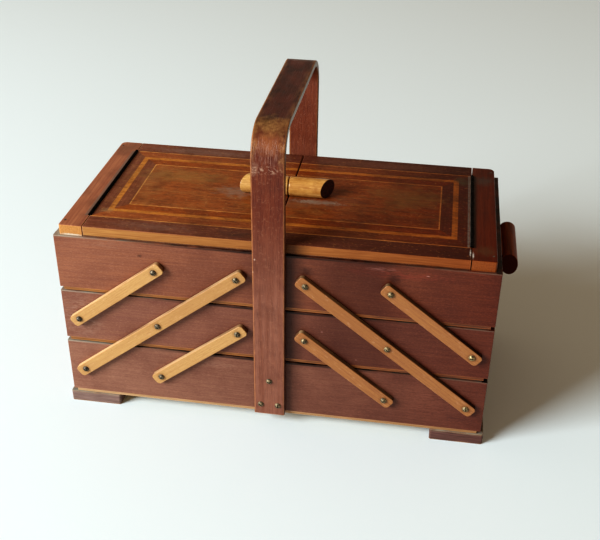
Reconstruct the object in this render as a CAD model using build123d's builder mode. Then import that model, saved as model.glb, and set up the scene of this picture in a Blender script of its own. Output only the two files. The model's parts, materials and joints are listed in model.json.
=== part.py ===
"""Cantilever sewing carrier with two lids, in millimetres.

A full-length base box carries two half-length middle trays and two half-length top trays
on wooden arms. The trays swing out to the left and to the right. Each top tray has a lid,
hinged to a fixed strip at its outer end. A bent U-shaped handle is screwed to the base.

Frame: +Z up, +X along the box, the front faces -Y. The origin is on the surface that the
feet stand on, under the middle of the box.
"""

import os
from math import atan2, degrees, hypot

from build123d import *

os.makedirs("parts", exist_ok=True)

# ---------------------------------------------------------------- driving dimensions

# carcass
carcass_length = 430.0        # over the base box, and over a closed pair of trays
base_depth = 207.5            # front to back over the base box
handle_clearance = 0.6        # from a tray's face to the handle leg that it slides past
wall = 8.5                    # all upright walls
rim_round = 0.6               # softened arris along the walls' rims and outer corners
floor_thickness = 3.2         # plywood floors, nailed on under the walls
floor_end_inset = 4.0         # a floor stops this far short of the walls' ends
floor_face_inset = 0.3        # and this far short of their faces
base_wall_height = 62.2
middle_wall_height = 56.6
top_wall_height = 58.5
tier_gap = 1.4                # under each tray's floor, to the rim below
centre_gap = 0.5              # from the middle plane to a tray's inner end

# feet
foot_length = 54.0
foot_depth = 45.0
foot_height = 12.3
foot_end_overhang = 2.9
foot_face_overhang = 1.3
foot_round = 2.0              # upright corners
foot_arris = 0.6              # upper edges

# bent handle
handle_width = 31.5
handle_thickness = 6.5
handle_top = 328.5            # height of its top face
handle_bend_radius = 32.0     # outside of the bend
handle_foot_height = 14.0     # height of the legs' lower ends
handle_offset = -1.5          # it stands a little left of the middle
handle_arris = 1.4
handle_screw_low = 26.0       # height of the lower pair of screws
handle_screw_high = 56.3      # height of the single screw
handle_screw_spacing = 17.8   # between the lower pair

# arms
arm_width = 13.0
arm_thickness = 5.0
arm_end = 9.4                 # from a pivot to the arm's end
arm_corner = 3.8
arm_arris = 0.8
arm_gap = 0.3                 # between an arm and the base box's face
pivot_end_inset = 18.4        # outer pivots, from the box's end
pivot_centre_inset = 33.6     # inner pivots, from the middle plane

# round-head screws
screw_head_radius = 3.2
screw_head_height = 2.4
screw_slot_width = 0.8
screw_slot_depth = 0.9
screw_shank_radius = 1.55
screw_thread_radius = 1.25
screw_bite = 7.4              # thread in the wall
screw_head_gap = 0.15         # under the head, so that an arm turns
pivot_clearance = 0.07        # round a shank, in an arm
pilot_clearance = 0.05        # round the thread, in a wall
pilot_end_gap = 0.3
screw_slot_turn = 137.5       # degrees from one screw's slot to the next

# lids and end strips
lid_face_inset = 2.5          # lids and strips stop this far short of a tray's faces
lid_thickness = 10.2
lid_rest_gap = 0.6            # under a closed lid
seam_gap = 0.6                # from the middle plane to a lid's free edge
strip_inset = 5.5             # from a top tray's end to the strip's outer edge
strip_back_corner = 6.0
strip_front_corner = 2.0
board_arris = 0.9

# piano hinges
hinge_inset = 29.15           # from a top tray's end to the hinge axis
hinge_rise = 0.3              # hinge axis above the lid's top face
hinge_length = 155.0
hinge_seam = 1.0              # gap between lid and strip beyond the hinge
barrel_radius = 1.7
barrel_clearance = 0.2
hinge_pin_radius = 0.75
hinge_pin_clearance = 0.05
leaf_thickness = 0.8
leaf_foot_gap = 1.2           # under the leaves, to the lid's lower face
knuckle_count = 15
knuckle_gap = 0.25

# lid knobs: lengths of round bar, sawn square at the seam and slantwise at the outer end
knob_radius = 10.0
knob_length = {"left": 44.0, "right": 39.5}
knob_offset = 2.0             # behind the middle of the lid
knob_flat = 0.5               # planed off where it sits on the lid
knob_arris = 1.0
saw_slant = 31.2              # degrees off square

# end grips: round bar with a neck against the tray's end
grip_radius = 8.5
grip_stand_off = 10.9         # bar's axis, from the tray's end
grip_neck = 11.0
grip_length = 74.5
grip_height = 31.5            # bar's axis, above the lower edge of the wall
grip_arris = 1.0

# ---------------------------------------------------------------- derived places

half_length = carcass_length / 2
tray_depth = base_depth - 2 * handle_clearance
lid_depth = tray_depth - 2 * lid_face_inset

base_floor_bottom = foot_height
base_wall_bottom = base_floor_bottom + floor_thickness
base_rim = base_wall_bottom + base_wall_height
middle_wall_bottom = base_rim + tier_gap + floor_thickness
middle_rim = middle_wall_bottom + middle_wall_height
top_wall_bottom = middle_rim + tier_gap + floor_thickness
top_rim = top_wall_bottom + top_wall_height

# the long arm is straight, so its middle pivot lies halfway between the other two
base_pivot_z = base_wall_bottom + base_wall_height / 2
top_pivot_z = top_wall_bottom + top_wall_height / 2
middle_pivot_z = (base_pivot_z + top_pivot_z) / 2
outer_pivot_x = half_length - pivot_end_inset
inner_pivot_x = pivot_centre_inset
mid_pivot_x = (outer_pivot_x + inner_pivot_x) / 2
arm_pitch = hypot(outer_pivot_x - mid_pivot_x, middle_pivot_z - base_pivot_z)
closed_angle = degrees(atan2(middle_pivot_z - base_pivot_z, outer_pivot_x - mid_pivot_x))
open_travel = 180 - 2 * closed_angle

base_pivots = [(outer_pivot_x, base_pivot_z), (mid_pivot_x, base_pivot_z)]
middle_pivots = [
    (outer_pivot_x, middle_pivot_z),
    (mid_pivot_x, middle_pivot_z),
    (inner_pivot_x, middle_pivot_z),
]
top_pivots = [(mid_pivot_x, top_pivot_z), (inner_pivot_x, top_pivot_z)]

arm_inner_y = base_depth / 2 + arm_gap
arm_outer_y = arm_inner_y + arm_thickness
pivot_head_y = arm_outer_y + screw_head_gap
handle_outer_y = base_depth / 2 + handle_thickness

lid_bottom = top_rim + lid_rest_gap
lid_top = lid_bottom + lid_thickness
hinge_x = half_length - hinge_inset
hinge_z = lid_top + hinge_rise
slot_half_width = barrel_radius + barrel_clearance
knuckle_pitch = hinge_length / knuckle_count

sides = {"left": -1, "right": 1}
faces = {"front": -1, "back": 1}


# ---------------------------------------------------------------- shared helpers


def save(piece, label):
    """Name a finished piece and write it."""
    piece.part.label = label
    export_step(piece.part, f"parts/{label}.step")


def footprint(x_a, x_b, y_a, y_b):
    """Add a rectangle between two x and two y values to the sketch in progress."""
    with Locations(((x_a + x_b) / 2, (y_a + y_b) / 2)):
        Rectangle(abs(x_b - x_a), abs(y_b - y_a))


def face_plane(face, distance):
    """Upright plane at a distance in front of or behind the middle, local x along +X.

    Its normal is -Y for both faces, so a positive extrusion goes towards the front.
    """
    return Plane.XZ.offset(-face * distance)


def drill_face(face, distance, centres, radius, depth):
    """Drill blind holes from its outer face into the wall in progress."""
    with BuildSketch(face_plane(face, distance)) as holes:
        with Locations(*centres):
            Circle(radius)
    extrude(holes.sketch, amount=face * depth, mode=Mode.SUBTRACT)


def soften_rim(part):
    """Round the two long arrises of a wall's rim."""
    rim = part.faces().sort_by(Axis.Z)[-1]
    fillet(rim.edges().sort_by(SortBy.LENGTH)[-2:], rim_round)


def soften_panel(part, face):
    """Round the rim of a front or back panel, and the upright corners of its outside."""
    outside = part.faces().sort_by(Axis.Y)[0 if face < 0 else -1]
    rim = part.faces().sort_by(Axis.Z)[-1]
    rim_edges = rim.edges().sort_by(SortBy.LENGTH)[-2:]
    fillet(rim_edges + outside.edges().filter_by(Axis.Z), rim_round)


def round_head_screw(grip_length):
    """One slotted round-head screw on the Z axis, its head seated at z = 0.

    The head is the cap of a ball whose radius follows from the head's width and height.
    """
    ball_radius = (screw_head_radius**2 + screw_head_height**2) / (2 * screw_head_height)
    ball_centre = screw_head_height - ball_radius
    rim_angle = degrees(atan2(-ball_centre, screw_head_radius))
    with BuildPart() as screw:
        with BuildSketch(Plane.XZ):
            with BuildLine():
                head = CenterArc((0, ball_centre), ball_radius, rim_angle, 90 - rim_angle)
                Polyline(
                    head @ 1,
                    (0, -grip_length - screw_bite),
                    (screw_thread_radius, -grip_length - screw_bite),
                    (screw_thread_radius, -grip_length),
                    (screw_shank_radius, -grip_length),
                    (screw_shank_radius, 0),
                    head @ 0,
                )
            make_face()
        revolve(axis=Axis.Z)
        with BuildSketch(Plane.XY.offset(screw_head_height)):
            Rectangle(3 * screw_head_radius, screw_slot_width)
        extrude(amount=-screw_slot_depth, mode=Mode.SUBTRACT)
    return screw.part


def screw_places(centres, head_distance):
    """Places for screws in the front and back faces, each slot at its own angle."""
    places = []
    for face in faces.values():
        for x, z in centres:
            slot_angle = screw_slot_turn * len(places)
            at_face = Location((x, face * head_distance, z), (-face * 90, 0, 0))
            places.append(at_face * Location((0, 0, 0), (0, 0, slot_angle)))
    return places


# ---------------------------------------------------------------- base box

handle_screw_centres = [
    (handle_offset, handle_screw_high),
    (handle_offset - handle_screw_spacing / 2, handle_screw_low),
    (handle_offset + handle_screw_spacing / 2, handle_screw_low),
]
base_screw_centres = [(side * x, z) for side in sides.values() for x, z in base_pivots]
pilot_radius = screw_thread_radius + pilot_clearance
pilot_depth = screw_bite + pilot_end_gap

for face_name, face in faces.items():
    with BuildPart() as base_face_panel:
        with BuildSketch(Plane.XY.offset(base_wall_bottom)):
            outer_y = face * base_depth / 2
            footprint(-half_length, half_length, outer_y - face * wall, outer_y)
        extrude(amount=base_wall_height)
        soften_panel(base_face_panel, face)
        centres = base_screw_centres + handle_screw_centres
        drill_face(face, base_depth / 2, centres, pilot_radius, pilot_depth)
    save(base_face_panel, f"base_{face_name}_panel")

for side_name, side in sides.items():
    with BuildPart() as base_end:
        with BuildSketch(Plane.XY.offset(base_wall_bottom)):
            inner_y = base_depth / 2 - wall
            footprint(side * (half_length - wall), side * half_length, -inner_y, inner_y)
        extrude(amount=base_wall_height)
        soften_rim(base_end)
    save(base_end, f"base_{side_name}_end")

with BuildPart() as base_floor:
    with BuildSketch(Plane.XY.offset(base_floor_bottom)):
        Rectangle(carcass_length - 2 * floor_end_inset, base_depth - 2 * floor_face_inset)
    extrude(amount=floor_thickness)
save(base_floor, "base_floor")

with BuildPart() as corner_feet:
    foot_x = half_length + foot_end_overhang - foot_length / 2
    foot_y = base_depth / 2 + foot_face_overhang - foot_depth / 2
    with BuildSketch():
        with GridLocations(2 * foot_x, 2 * foot_y, 2, 2):
            RectangleRounded(foot_length, foot_depth, foot_round)
    extrude(amount=foot_height)
    fillet(corner_feet.faces().group_by(Axis.Z)[-1].edges(), foot_arris)
save(corner_feet, "corner_feet")

# ---------------------------------------------------------------- carrying handle

with BuildPart() as carry_handle:
    handle_plane = Plane.YZ.offset(handle_offset - handle_width / 2)
    with BuildSketch(handle_plane):
        with Locations((0, handle_foot_height)):
            Rectangle(
                2 * handle_outer_y,
                handle_top - handle_foot_height,
                align=(Align.CENTER, Align.MIN),
            )
        fillet(vertices().group_by(Axis.Y)[-1], handle_bend_radius)
    extrude(amount=handle_width)
    with BuildSketch(handle_plane):
        with Locations((0, handle_foot_height)):
            Rectangle(
                base_depth,
                handle_top - handle_thickness - handle_foot_height,
                align=(Align.CENTER, Align.MIN),
            )
        fillet(vertices().group_by(Axis.Y)[-1], handle_bend_radius - handle_thickness)
    extrude(amount=handle_width, mode=Mode.SUBTRACT)
    side_edges = carry_handle.faces().filter_by(Plane.YZ).edges()
    fillet(side_edges - side_edges.group_by(Axis.Z)[0], handle_arris)
    with BuildSketch(face_plane(-1, handle_outer_y)):
        with Locations(*handle_screw_centres):
            Circle(screw_shank_radius + pivot_clearance)
    extrude(amount=-2 * handle_outer_y, mode=Mode.SUBTRACT)
save(carry_handle, "carry_handle")

handle_screw = round_head_screw(handle_thickness)
with BuildPart() as handle_screws:
    with Locations(*screw_places(handle_screw_centres, handle_outer_y)):
        add(handle_screw)
save(handle_screws, "handle_screws")

base_pivot_screw = round_head_screw(pivot_head_y - base_depth / 2)
with BuildPart() as base_pivot_screws:
    with Locations(*screw_places(base_screw_centres, pivot_head_y)):
        add(base_pivot_screw)
save(base_pivot_screws, "base_pivot_screws")

# ---------------------------------------------------------------- middle and top trays

tray_tiers = {
    "middle": (middle_wall_bottom, middle_wall_height, middle_pivots),
    "top": (top_wall_bottom, top_wall_height, top_pivots),
}
tray_pivot_screw = round_head_screw(pivot_head_y - tray_depth / 2)

for side_name, side in sides.items():
    for tier_name, (wall_bottom, wall_height, pivots) in tray_tiers.items():
        tray = f"{side_name}_{tier_name}"
        screw_centres = [(side * x, z) for x, z in pivots]

        for face_name, face in faces.items():
            with BuildPart() as tray_face_panel:
                with BuildSketch(Plane.XY.offset(wall_bottom)):
                    outer_y = face * tray_depth / 2
                    footprint(
                        side * centre_gap, side * half_length, outer_y - face * wall, outer_y
                    )
                extrude(amount=wall_height)
                soften_panel(tray_face_panel, face)
                drill_face(face, tray_depth / 2, screw_centres, pilot_radius, pilot_depth)
            save(tray_face_panel, f"{tray}_{face_name}_panel")

        inner_y = tray_depth / 2 - wall
        end_places = {"inner": centre_gap, "outer": half_length - wall}
        for end_name, end_x in end_places.items():
            with BuildPart() as tray_end:
                with BuildSketch(Plane.XY.offset(wall_bottom)):
                    footprint(side * end_x, side * (end_x + wall), -inner_y, inner_y)
                extrude(amount=wall_height)
                soften_rim(tray_end)
            save(tray_end, f"{tray}_{end_name}_end")

        with BuildPart() as tray_floor:
            with BuildSketch(Plane.XY.offset(wall_bottom - floor_thickness)):
                floor_y = tray_depth / 2 - floor_face_inset
                footprint(
                    side * centre_gap,
                    side * (half_length - floor_end_inset),
                    -floor_y,
                    floor_y,
                )
            extrude(amount=floor_thickness)
        save(tray_floor, f"{tray}_floor")

        with BuildPart() as tray_pivot_screws:
            with Locations(*screw_places(screw_centres, pivot_head_y)):
                add(tray_pivot_screw)
        save(tray_pivot_screws, f"{tray}_pivot_screws")

# ---------------------------------------------------------------- arms


def arm_plane(side, face, foot):
    """Plane on an arm's inner face, origin at its lower pivot, local x up along the arm."""
    along = (side * (mid_pivot_x - outer_pivot_x), 0, middle_pivot_z - base_pivot_z)
    x, z = foot
    return Plane(origin=(side * x, face * arm_inner_y, z), x_dir=along, z_dir=(0, face, 0))


# name: lower pivot, and how many pivot spacings long
arm_kinds = {
    "long_arm": ((outer_pivot_x, base_pivot_z), 2),
    "lower_arm": ((mid_pivot_x, base_pivot_z), 1),
    "upper_arm": ((outer_pivot_x, middle_pivot_z), 1),
}

for side_name, side in sides.items():
    for face_name, face in faces.items():
        for kind, (foot, spans) in arm_kinds.items():
            with BuildPart() as arm:
                with BuildSketch(arm_plane(side, face, foot)):
                    with Locations((spans * arm_pitch / 2, 0)):
                        RectangleRounded(spans * arm_pitch + 2 * arm_end, arm_width, arm_corner)
                    with Locations(*[(n * arm_pitch, 0) for n in range(spans + 1)]):
                        Circle(screw_shank_radius + pivot_clearance, mode=Mode.SUBTRACT)
                extrude(amount=arm_thickness)
                outside = arm.faces().sort_by(Axis.Y)[0 if face < 0 else -1]
                fillet(outside.outer_wire().edges(), arm_arris)
            save(arm, f"{side_name}_{face_name}_{kind}")

# ---------------------------------------------------------------- end strips and lids

for side_name, side in sides.items():
    with BuildPart() as end_strip:
        with BuildSketch(Plane.XY.offset(top_rim)):
            inner_x = side * (hinge_x + hinge_seam / 2)
            outer_x = side * (half_length - strip_inset)
            footprint(inner_x, outer_x, -lid_depth / 2, lid_depth / 2)
            front_corner = vertices().sort_by_distance((outer_x, -lid_depth / 2))[0]
            fillet(front_corner, strip_front_corner)
            back_corner = vertices().sort_by_distance((outer_x, lid_depth / 2))[0]
            fillet(back_corner, strip_back_corner)
            with Locations((side * hinge_x, 0)):
                Rectangle(2 * slot_half_width, hinge_length, mode=Mode.SUBTRACT)
        extrude(amount=lid_top - top_rim)
        upper_face = end_strip.faces().sort_by(Axis.Z)[-1]
        free_edges = upper_face.edges().filter_by(
            lambda e: abs(e.center().X) > hinge_x + slot_half_width + board_arris
        )
        fillet(free_edges, board_arris)
    save(end_strip, f"{side_name}_end_strip")

    with BuildPart() as lid_panel:
        with BuildSketch(Plane.XY.offset(lid_bottom)):
            footprint(
                side * seam_gap,
                side * (hinge_x - hinge_seam / 2),
                -lid_depth / 2,
                lid_depth / 2,
            )
            with Locations((side * hinge_x, 0)):
                Rectangle(2 * slot_half_width, hinge_length, mode=Mode.SUBTRACT)
        extrude(amount=lid_thickness)
        upper_face = lid_panel.faces().sort_by(Axis.Z)[-1]
        free_edges = upper_face.edges().filter_by(
            lambda e: abs(e.center().X) < hinge_x - slot_half_width - board_arris
        )
        fillet(free_edges, board_arris)
    save(lid_panel, f"{side_name}_lid_panel")

# ---------------------------------------------------------------- piano hinges


def hinge_section_plane():
    """Upright plane across the hinge at its back end; extruding goes towards the front."""
    return Plane.XZ.offset(-hinge_length / 2)


leaf_bottom = lid_bottom + leaf_foot_gap
leaf_kinds = {
    "fixed_leaf": (1, range(0, knuckle_count, 2)),
    "lid_leaf": (-1, range(1, knuckle_count, 2)),
}

for side_name, side in sides.items():
    for kind, (away, own_knuckles) in leaf_kinds.items():
        outer_x = side * (hinge_x + away * slot_half_width)
        inner_x = side * (hinge_x + away * (slot_half_width - leaf_thickness))
        with BuildPart() as hinge_leaf:
            with BuildSketch(Plane.XY.offset(leaf_bottom)):
                footprint(inner_x, outer_x, -hinge_length / 2, hinge_length / 2)
            extrude(amount=hinge_z - leaf_bottom)
            with BuildSketch(hinge_section_plane()):
                with Locations((side * hinge_x, hinge_z)):
                    Circle(slot_half_width + barrel_clearance)
            extrude(amount=hinge_length, mode=Mode.SUBTRACT)
            for number in own_knuckles:
                knuckle_start = -hinge_length / 2 + number * knuckle_pitch + knuckle_gap / 2
                with BuildSketch(Plane.XZ.offset(-knuckle_start)):
                    with Locations((side * hinge_x, hinge_z)):
                        Circle(barrel_radius)
                    footprint(inner_x, outer_x, hinge_z - 2 * slot_half_width, hinge_z)
                extrude(amount=-(knuckle_pitch - knuckle_gap))
            with BuildSketch(hinge_section_plane()):
                with Locations((side * hinge_x, hinge_z)):
                    Circle(hinge_pin_radius + hinge_pin_clearance)
            extrude(amount=hinge_length, mode=Mode.SUBTRACT)
        save(hinge_leaf, f"{side_name}_hinge_{kind}")

    with BuildPart() as hinge_pin:
        with BuildSketch(hinge_section_plane()):
            with Locations((side * hinge_x, hinge_z)):
                Circle(hinge_pin_radius)
        extrude(amount=hinge_length)
    save(hinge_pin, f"{side_name}_hinge_pin")

# ---------------------------------------------------------------- lid knobs and end grips


def turn_for(side):
    """The left piece is the right-hand one turned half round about the vertical."""
    return Location((0, 0, 0), (0, 0, 0 if side > 0 else 180))


for side_name, side in sides.items():
    bar_length = knob_length[side_name]
    with BuildPart() as right_hand_knob:
        bar_plane = Plane(
            origin=(seam_gap, side * knob_offset, lid_top + knob_radius - knob_flat),
            x_dir=(0, 1, 0),
            z_dir=(1, 0, 0),
        )
        with BuildSketch(bar_plane):
            Circle(knob_radius)
        extrude(amount=bar_length + knob_radius)
        fillet(right_hand_knob.edges().sort_by(Axis.X)[0], knob_arris)
        slant_cut = Plane(
            origin=(bar_length, side * knob_offset, lid_top),
            z_dir=Vector(1, 0, 0).rotate(Axis.Z, -saw_slant),
        )
        split(bisect_by=slant_cut, keep=Keep.BOTTOM)
        slant_face = right_hand_knob.faces().sort_by(Axis.X)[-1]
        fillet(slant_face.edges(), knob_arris / 2)
        split(bisect_by=Plane.XY.offset(lid_top), keep=Keep.TOP)
    with BuildPart() as lid_knob:
        with Locations(turn_for(side)):
            add(right_hand_knob.part)
    save(lid_knob, f"{side_name}_lid_knob")

with BuildPart() as right_hand_grip:
    grip_x = half_length + grip_stand_off
    grip_z = top_wall_bottom + grip_height
    with BuildSketch(Plane.XZ.offset(-grip_length / 2)):
        with Locations((grip_x, grip_z)):
            Circle(grip_radius)
    extrude(amount=grip_length + grip_radius)
    fillet(right_hand_grip.edges().sort_by(Axis.Y)[-1], grip_arris)
    slant_cut = Plane(
        origin=(grip_x, -grip_length / 2, grip_z),
        z_dir=Vector(0, -1, 0).rotate(Axis.X, -saw_slant),
    )
    split(bisect_by=slant_cut, keep=Keep.BOTTOM)
    slant_face = right_hand_grip.faces().sort_by(Axis.Y)[0]
    fillet(slant_face.edges(), grip_arris / 2)
    neck_half = grip_length / 2 - grip_radius
    with BuildSketch(Plane.XY.offset(grip_z - grip_neck / 2)):
        footprint(half_length, grip_x, -neck_half, neck_half)
    extrude(amount=grip_neck)

for side_name, side in sides.items():
    with BuildPart() as end_grip:
        with Locations(turn_for(side)):
            add(right_hand_grip.part)
    save(end_grip, f"{side_name}_end_grip")

print(f"arms: {arm_pitch:.2f} between pivots, {closed_angle:.2f} deg closed")
print(f"trays swing out by {open_travel:.2f} deg")
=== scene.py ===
"""Finishes, small fittings, light and view for a cantilever sewing carrier with two lids.

The frame brings every board, arm, hinge and screw at its real size and place. This script
gives each its finish, adds the pins and screws that hold floors, strips, knobs and grips,
and sets up light and view. Sizes and patterns are given in millimetres; what is in metres,
as joint places, light and view are, has a comment that says so.
"""

import json
import math

import bmesh
import bpy
from mathutils import Matrix, Vector


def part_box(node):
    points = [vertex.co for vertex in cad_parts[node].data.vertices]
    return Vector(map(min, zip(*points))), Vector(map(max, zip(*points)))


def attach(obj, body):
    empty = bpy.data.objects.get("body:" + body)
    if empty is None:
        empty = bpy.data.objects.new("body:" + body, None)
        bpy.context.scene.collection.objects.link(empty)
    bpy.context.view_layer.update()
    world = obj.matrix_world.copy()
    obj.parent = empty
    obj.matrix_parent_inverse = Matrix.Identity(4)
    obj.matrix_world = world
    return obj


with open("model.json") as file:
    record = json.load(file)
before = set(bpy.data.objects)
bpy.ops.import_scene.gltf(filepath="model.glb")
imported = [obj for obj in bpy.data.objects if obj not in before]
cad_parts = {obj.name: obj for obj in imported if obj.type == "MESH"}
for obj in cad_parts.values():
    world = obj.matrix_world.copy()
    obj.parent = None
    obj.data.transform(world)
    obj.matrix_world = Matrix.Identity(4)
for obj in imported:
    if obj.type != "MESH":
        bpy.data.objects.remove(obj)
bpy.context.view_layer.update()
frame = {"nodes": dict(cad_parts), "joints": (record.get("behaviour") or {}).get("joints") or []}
nodes = frame["nodes"]
joint_places = {joint["name"]: Vector(joint["pos_m"]) for joint in frame["joints"]}  # metres

MM = 0.001
SIDES = {"left": -1, "right": 1}
FACES = {"front": -1, "back": 1}
TIERS = ("middle", "top")
TRAYS = [(side_name, tier) for side_name in SIDES for tier in TIERS]

# sizes of the frame's pieces, in mm
HALF_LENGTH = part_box("base_front_panel")[1].x / MM
STRIP_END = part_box("right_end_strip")[1].x / MM
LID_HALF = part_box("right_lid_panel")[1].y / MM
LID_UNDER, LID_TOP = (corner.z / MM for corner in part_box("right_lid_panel"))
HINGE_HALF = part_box("right_hinge_pin")[1].y / MM
HANDLE_LOW, HANDLE_HIGH = (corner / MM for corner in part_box("carry_handle"))
HANDLE_TOP = HANDLE_HIGH.z
HANDLE_MIDDLE = (HANDLE_LOW.x + HANDLE_HIGH.x) / 2
HANDLE_HALF = (HANDLE_HIGH.x - HANDLE_LOW.x) / 2
GRIP_LOW = HANDLE_TOP - 34  # hands have darkened the handle from here up

# the stringing's rectangles: half-lengths from the middle of the two closed lids, in mm
BAND_END, BAND_FACE = 169.4, 62.0
FIELD_END, FIELD_FACE = 154.5, 47.5
BORDER_FACE = 78.0
BAND_WIDTH = 5.5
LINE_WIDTH = 1.2


# ---------------------------------------------------------------- shader helpers


def srgb(code):
    """Linear colour from a six-digit sRGB hex code."""
    shares = [int(code[i : i + 2], 16) / 255 for i in (0, 2, 4)]
    return [s / 12.92 if s <= 0.04045 else ((s + 0.055) / 1.055) ** 2.4 for s in shares] + [1]


def add(tree, kind, inputs=None, out=0, **settings):
    """Add a shader node with its settings and links; return one of its outputs, or several.

    Text given to an input is a colour's hex code.
    """
    node = tree.nodes.new("ShaderNode" + kind)
    for name, value in settings.items():
        setattr(node, name, value)
    for name, value in (inputs or {}).items():
        if isinstance(value, bpy.types.NodeSocket):
            tree.links.new(value, node.inputs[name])
        else:
            node.inputs[name].default_value = srgb(value) if isinstance(value, str) else value
    if isinstance(out, tuple):
        return [node.outputs[name] for name in out]
    return node.outputs[out] if node.outputs else None


def new_material(name):
    """An empty material and its node tree."""
    material = bpy.data.materials.new(name)
    material.use_nodes = True
    material.node_tree.nodes.clear()
    return material, material.node_tree


def close_material(material, colour, roughness, bump, bump_mm, **fixed):
    """Join colour, roughness and relief to the shader; fixed values sit on its sockets."""
    tree = material.node_tree
    relief = add(tree, "Bump", {"Height": bump, "Distance": bump_mm * MM, "Strength": 1.0})
    inputs = {"Base Color": colour, "Roughness": roughness, "Normal": relief}
    for name, value in fixed.items():
        inputs[name.replace("_", " ")] = value
    add(tree, "OutputMaterial", {"Surface": add(tree, "BsdfPrincipled", inputs)})
    return material


def in_mm(tree, turn=(0, 0, 0)):
    """Object coordinates in millimetres, turned so that x runs along the grain."""
    place = add(tree, "TexCoord", out="Object")
    return add(tree, "Mapping", {"Vector": place, "Rotation": turn, "Scale": (1 / MM,) * 3})


def marks_along(tree, place, length, width, seed=0, detail=3.0, rough=0.55):
    """Noise drawn out along x; one mark is about length by width millimetres."""
    drawn = {
        "Vector": place,
        "Location": (seed, 2 * seed, 3 * seed),
        "Scale": (1 / length, 1 / width, 1 / width),
    }
    noise = {"Vector": add(tree, "Mapping", drawn), "Scale": 1}
    return add(tree, "TexNoise", {**noise, "Detail": detail, "Roughness": rough})


def spots(tree, place, centre, size, ragged, scale):
    """1 in an oval spot at a place in millimetres, falling to 0 at its ragged edge."""
    fit = {
        "Vector": place,
        "Location": tuple(-c / s for c, s in zip(centre, size)),
        "Scale": tuple(1 / s for s in size),
    }
    fitted = add(tree, "Mapping", fit)
    distance = add(tree, "VectorMath", {0: fitted}, out="Value", operation="LENGTH")
    noise = add(tree, "TexNoise", {"Vector": place, "Scale": scale, "Detail": 4})
    raggedness = {0: noise, 1: 2 * ragged, 2: -ragged}
    rough_edge = add(tree, "Math", raggedness, operation="MULTIPLY_ADD")
    reach = add(tree, "Math", {0: distance, 1: rough_edge}, operation="SUBTRACT")
    return risen(tree, reach, (1.0, 0.3))


def edge_wear(tree, place, radius):
    """1 along sharp arrises, patchy, falling to 0 a little way in from them."""
    rounded = add(tree, "Bevel", {"Radius": radius * MM}, samples=6)
    true = add(tree, "NewGeometry", out="Normal")
    agree = add(tree, "VectorMath", {0: rounded, 1: true}, out="Value", operation="DOT_PRODUCT")
    arris = risen(tree, agree, (0.995, 0.86))
    patches = add(tree, "TexNoise", {"Vector": place, "Scale": 0.09, "Detail": 4})
    kept = {"Value": patches, "From Min": 0.35, "From Max": 0.6, "To Min": 0.25}
    return times(tree, arris, add(tree, "MapRange", kept))


def facing(tree, direction, start=0.4, end=0.8):
    """1 where the surface faces a direction of the piece's own frame."""
    both = {0: add(tree, "TexCoord", out="Normal"), 1: direction}
    share = add(tree, "VectorMath", both, out="Value", operation="DOT_PRODUCT")
    return risen(tree, share, (start, end))


def between(tree, value, low, high, soft):
    """1 from low to high, falling to 0 within a soft margin on both sides."""
    fall = risen(tree, value, (high + soft, high))
    return risen(tree, value, (low - soft, low), fall)


def times(tree, share, *others):
    """The product of several shares."""
    for other in others:
        share = add(tree, "Math", {0: share, 1: other}, operation="MULTIPLY")
    return share


def risen(tree, value, span, *shares):
    """How far a value has come through a span, from 0 to 1, times any other shares."""
    rise = add(tree, "MapRange", {"Value": value, "From Min": span[0], "From Max": span[1]})
    return times(tree, rise, *shares)


def blend(tree, share, under, over):
    """Lay one colour over another by a share from 0 to 1.

    A colour is a socket, a linear colour, a hex code, or two codes: for the right, and for
    the faded left.
    """
    under, over = (faded(tree, *c) if isinstance(c, tuple) else c for c in (under, over))
    return add(tree, "Mix", {0: share, 6: under, 7: over}, out=2, data_type="RGBA")


def laid(tree, under, noise, span, strength, over):
    """Lay one colour over another, the more the further a noise has come through a span."""
    return blend(tree, risen(tree, noise, span, strength), under, over)


def layered(tree, under, place, *layers):
    """Lay drawn-out marks over a colour, one kind after another.

    A layer gives what marks_along takes, the noise's span, a strength and the marks' colours
    on the right and on the left.
    """
    for drawn, span, strength, codes in layers:
        noise = marks_along(tree, place, *drawn)
        under = laid(tree, under, noise, span, strength, codes)
    return under


def dab(tree, under, place, spot, strength, over):
    """Lay one colour over another in a spot: its centre, size, raggedness and noise scale."""
    return blend(tree, times(tree, spots(tree, place, *spot), strength), under, over)


def faded(tree, deep, pale):
    """The window side of the carrier has faded: from deep on the right to pale on the left."""
    place = add(tree, "TexCoord", out="Object")
    x = add(tree, "SeparateXYZ", {0: place}, out="X")
    reach = HALF_LENGTH * MM
    return laid(tree, deep, x, (reach, -reach), 1.0, pale)


def wood(tree, place, dark, light, streak, pore, seed):
    """Planed wood: streaks between two tones, crossed by short dark pores.

    Pores are drawn 0.7 mm wide, a little coarser than real ones, so that they show.
    """
    broad = marks_along(tree, place, *streak, seed=seed, detail=5, rough=0.6)
    colour = laid(tree, dark, broad, (0.32, 0.68), 1.0, light)
    fine = marks_along(tree, place, 14, 0.7, seed=seed + 5, detail=2)
    pores = risen(tree, fine, (0.54, 0.68))
    return blend(tree, times(tree, pores, pore), colour, dark), pores


def faded_wood(tree, place, right, left, streak, pore, seed):
    """Planed wood that has faded; two tones and the strength of its pores for each side."""
    deep, pores = wood(tree, place, *right, streak, pore[0], seed)
    pale, _ = wood(tree, place, *left, streak, pore[1], seed)
    return faded(tree, deep, pale), pores


def dusted(tree, colour, share, dust):
    """Grey house dust, thicker in some places than in others."""
    drifts = add(tree, "TexNoise", {"Vector": in_mm(tree), "Scale": 0.06, "Detail": 5})
    return laid(tree, colour, drifts, (0.3, 0.6), share, dust)


# ---------------------------------------------------------------- finishes

ALONG_X = (0, 0, 0)
ALONG_Y = (0, 0, math.radians(-90))

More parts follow.
